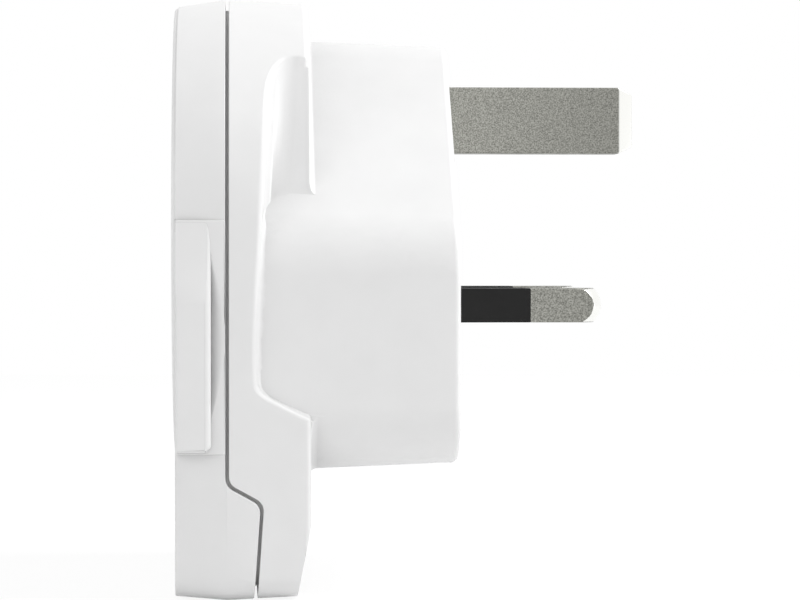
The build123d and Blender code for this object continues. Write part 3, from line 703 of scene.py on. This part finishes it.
flankBlend = {
    "rows": blendRows, "start": (-21.9, -23.5, 11.5), "end": (-21.65, -27.03, -10.02),
    "innerAngle": 30, "sideBeyond": -20, "spacing": 0.45, "steps": 10,
    "alongPlug": 1.7, "upWall": 0.60, "fadeIn": 2.5, "fadeOut": 4.0, "endSize": 0.12,
    "pull": 0.45, "sink": 0.04, "cornerSink": 0.12,
}


# the eased pieces, eases in mm; proud edges lie farther than proudBeyond from the middle plane
plainEase = {"ease": 0.12, "sharper": 25, "proudBeyond": math.inf, "proudEase": 0, "strips": []}
easedPieces = [
    {"name": "frontCasing", "node": "front_shell", "proudBeyond": 28.32, "proudEase": 0.25,
     "strips": [padRim, scoopBed]},
    {"name": "rearCasing", "node": "rear_shell", "strips": [flankBlend]},
    {"name": "socketFace", "node": "socket_plate", "ease": 0.15},
    {"name": "fuseDrawer", "node": "fuse_carrier"},
    {"name": "earthBlade", "node": "earth_pin", "ease": 0.16},
    {"name": "lineBlade", "node": "line_pin", "sharper": 80},
    {"name": "neutralBlade", "node": "neutral_pin", "sharper": 80},
]
outerSkin = joinedSkin(skinNodes)
sightLines = spreadRays(easing["sightLines"])
for pieceLook in easedPieces:
    easedCopy({**plainEase, **pieceLook}, outerSkin, sightLines)
print("eased pieces made:", len(easedPieces))


# pieces grown by geometry nodes
def newTree(name, sizes):
    tree = bpy.data.node_groups.new(name, "GeometryNodeTree")
    tree.interface.new_socket("Geometry", in_out="INPUT", socket_type="NodeSocketGeometry")
    for label, value in sizes.items():
        kind = "NodeSocketInt" if isinstance(value, int) else "NodeSocketFloat"
        kind = "NodeSocketVector" if isinstance(value, tuple) else kind
        tree.interface.new_socket(label, in_out="INPUT", socket_type=kind)
    tree.interface.new_socket("Geometry", in_out="OUTPUT", socket_type="NodeSocketGeometry")
    return tree, tree.nodes.new("NodeGroupInput").outputs


def feed(tree, socket, source):
    if isinstance(source, bpy.types.NodeSocket):
        tree.links.new(source, socket)
    else:
        socket.default_value = source


def addNode(tree, kind, **wired):
    node = tree.nodes.new("GeometryNode" + kind)
    for name, source in wired.items():
        feed(tree, next(s for s in node.inputs if s.name.replace(" ", "") == name), source)
    return node.outputs[0]


def addVector(tree, x, y, z):
    node = tree.nodes.new("ShaderNodeCombineXYZ")
    for socket, source in zip(node.inputs, (x, y, z)):
        feed(tree, socket, source)
    return node.outputs[0]


def addCircle(tree, sides, radius):
    return addNode(tree, "CurvePrimitiveCircle", Resolution=sides, Radius=radius)


def addCoil(tree, points, turns, radius, height):
    return addNode(tree, "CurveSpiral", Resolution=points, Rotations=turns,
                   StartRadius=radius, EndRadius=radius, Height=height)


def joinAll(tree, *parts):
    node = tree.nodes.new("GeometryNodeJoinGeometry")
    for part in parts:
        tree.links.new(part, node.inputs[0])
    return node.outputs[0]


def endTree(tree, grown, finish):
    real = addNode(tree, "RealizeInstances", Geometry=grown)
    dressed = addNode(tree, "SetMaterial", Geometry=real, Material=finish)
    tree.links.new(dressed, tree.nodes.new("NodeGroupOutput").inputs[0])


def linePath(name, places, reaches=None):
    mesh = bpy.data.meshes.new(name)
    mesh.from_pydata(places, [(i, i + 1) for i in range(len(places) - 1)], [])
    if reaches:
        mesh.attributes.new("reach", "FLOAT", "POINT").data.foreach_set("value", reaches)
    return mesh


def growPiece(name, tree, sizes, path, body, sharpAngle, replaced):
    piece = bpy.data.objects.new(name, path)
    scene.collection.objects.link(piece)
    grower = piece.modifiers.new(name, "NODES")
    grower.node_group = tree
    for item in tree.interface.items_tree:
        if item.in_out == "INPUT" and item.name in sizes:
            grower[item.identifier] = sizes[item.name]
    depsgraph = bpy.context.evaluated_depsgraph_get()
    grown = bpy.data.meshes.new_from_object(piece.evaluated_get(depsgraph))
    piece.modifiers.clear()
    piece.data = grown
    grown.name = name
    grown.shade_smooth()
    grown.set_sharp_from_angle(angle=math.radians(sharpAngle))
    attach(piece, body)
    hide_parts(*replaced)
    print(name, "grown:", len(grown.polygons), "faces")
    return piece


# return spring of the shutter: round wire
returnSpring = {
    "turns": 6.5, "wire": 0.36 * mm, "pointsPerTurn": 28, "wireSides": 12, "sharpAngle": 60,
    "pressedShare": 5 / 13,      # height with the shutter down, as a share of that at rest
}


def makeReturnSpring(look):
    low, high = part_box("shutter_spring")
    sizes = {
        "Turns": look["turns"],
        "Wire Radius": look["wire"] / 2,
        "Coil Radius": (high.x - low.x - look["wire"]) / 2,
        "Height": high.z - low.z - look["wire"],
        "Foot": ((low.x + high.x) / 2, (low.y + high.y) / 2, low.z + look["wire"] / 2),
        "Points Per Turn": look["pointsPerTurn"],
        "Wire Sides": look["wireSides"],
    }
    tree, given = newTree("returnSpring", sizes)
    coil = addCoil(tree, given["Points Per Turn"], given["Turns"], given["Coil Radius"],
                   given["Height"])
    coil = addNode(tree, "Transform", Geometry=coil, Translation=given["Foot"])
    wire = addCircle(tree, given["Wire Sides"], given["Wire Radius"])
    spring = addNode(tree, "CurveToMesh", Curve=coil, ProfileCurve=wire, FillCaps=True)
    endTree(tree, spring, finishes["steel"])
    path = linePath("returnSpring", [(0, 0, 0), (0, 0, mm)])
    spring = growPiece("returnSpring", tree, sizes, path, "case",
                       look["sharpAngle"], ["shutter_spring"])
    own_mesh(spring)


makeReturnSpring(returnSpring)


# case screws: pan head with a cross recess, and a rolled thread
caseScrew = {
    "count": 2, "sides": 40, "sharpAngle": 38,
    "shankRadius": 1.25 * mm, "coreShare": 0.80,
    "tipLength": 1.6 * mm, "tipShare": 0.15,
    "threadPitch": 1.0 * mm, "threadSides": 6, "threadPoints": 24,
    "threadStart": 0.6,          # share of the tip's length
    "threadClear": 0.8 * mm,     # plain shank under the head
    "recessWidth": 0.62 * mm, "recessReach": 1.2 * mm, "recessDepth": 0.95 * mm,
    "headHeight": 1.7 * mm, "headStep": 0.02 * mm, "headTop": 0.42,
    "headSide": [                # mm above the seat, share of the head's radius
        (0, 0.98), (0.10, 1), (0.85, 1), (1.20, 0.95), (1.45, 0.84), (1.62, 0.66),
    ],
}


def screwProfile(look, seat, length, core, headRadius):
    profile = [(0, look["tipShare"] * core), (look["tipLength"], core)]
    profile.append((seat - look["headStep"], core))
    profile += [(seat + up * mm, headRadius * share) for up, share in look["headSide"]]
    return profile + [(length, headRadius * look["headTop"])]


def addTurned(tree, path, sides):
    spine = addNode(tree, "MeshToCurve", Mesh=path)
    reach = tree.nodes.new("GeometryNodeInputNamedAttribute")
    reach.data_type = "FLOAT"
    reach.inputs["Name"].default_value = "reach"
    return addNode(tree, "CurveToMesh", Curve=spine, ProfileCurve=addCircle(tree, sides, 1.0),
                   Scale=reach.outputs["Attribute"], FillCaps=True)


def cutCross(tree, solid, given):
    cross = tree.nodes.new("GeometryNodeMeshBoolean")
    cross.operation = "DIFFERENCE"
    cross.solver = "EXACT"
    tree.links.new(solid, cross.inputs["Mesh 1"])
    top = addVector(tree, 0.0, 0.0, given["Length"])
    wide, far, deep = given["Recess Width"], given["Recess Reach"], given["Recess Depth"]
    for size in ((wide, far, deep), (far, wide, deep)):
        bar = addNode(tree, "MeshCube", Size=addVector(tree, *size))
        bar = addNode(tree, "Transform", Geometry=bar, Translation=top)
        tree.links.new(bar, cross.inputs["Mesh 2"])
    return cross.outputs["Mesh"]


def makeCaseScrews(look):
    low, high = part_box("case_screws")
    headRadius = (high.z - low.z) / 2
    length = high.x - low.x
    seat = length - look["headHeight"]
    core = look["shankRadius"] * look["coreShare"]
    threadFoot = look["tipLength"] * look["threadStart"]
    threadHeight = seat - threadFoot - look["threadClear"]
    sizes = {
        "Sides": look["sides"],
        "Thread Radius": core,
        "Thread Depth": look["shankRadius"] - core,
        "Thread Foot": threadFoot,
        "Thread Height": threadHeight,
        "Thread Turns": threadHeight / look["threadPitch"],
        "Recess Width": look["recessWidth"],
        "Recess Reach": 2 * look["recessReach"],
        "Recess Depth": 2 * look["recessDepth"],
        "Length": length,
        "First Place": (low.x, low.y + headRadius, low.z + headRadius),
        "Spacing": (0.0, high.y - low.y - 2 * headRadius, 0.0),
    }
    tree, given = newTree("caseScrews", sizes)
    turned = addTurned(tree, given["Geometry"], given["Sides"])
    helix = addCoil(tree, look["threadPoints"], given["Thread Turns"], given["Thread Radius"],
                    given["Thread Height"])
    foot = addVector(tree, 0.0, 0.0, given["Thread Foot"])
    helix = addNode(tree, "Transform", Geometry=helix, Translation=foot)
    ridge = addCircle(tree, look["threadSides"], given["Thread Depth"])
    thread = addNode(tree, "CurveToMesh", Curve=helix, ProfileCurve=ridge, FillCaps=True)
    screw = joinAll(tree, cutCross(tree, turned, given), thread)
    screw = addNode(tree, "Transform", Geometry=screw, Rotation=(0, math.pi / 2, 0))
    places = addNode(tree, "MeshLine", Count=look["count"], StartLocation=given["First Place"],
                     Offset=given["Spacing"])
    screws = addNode(tree, "InstanceOnPoints", Points=places, Instance=screw)
    endTree(tree, screws, finishes["steel"])
    profile = screwProfile(look, seat, length, core, headRadius)
    spine = [(0, 0, along) for along, reach in profile]
    path = linePath("caseScrews", spine, [reach for along, reach in profile])
    growPiece("caseScrews", tree, sizes, path, "case", look["sharpAngle"],
              ["case_screws"])


makeCaseScrews(caseScrew)
print("geometry nodes pieces grown")
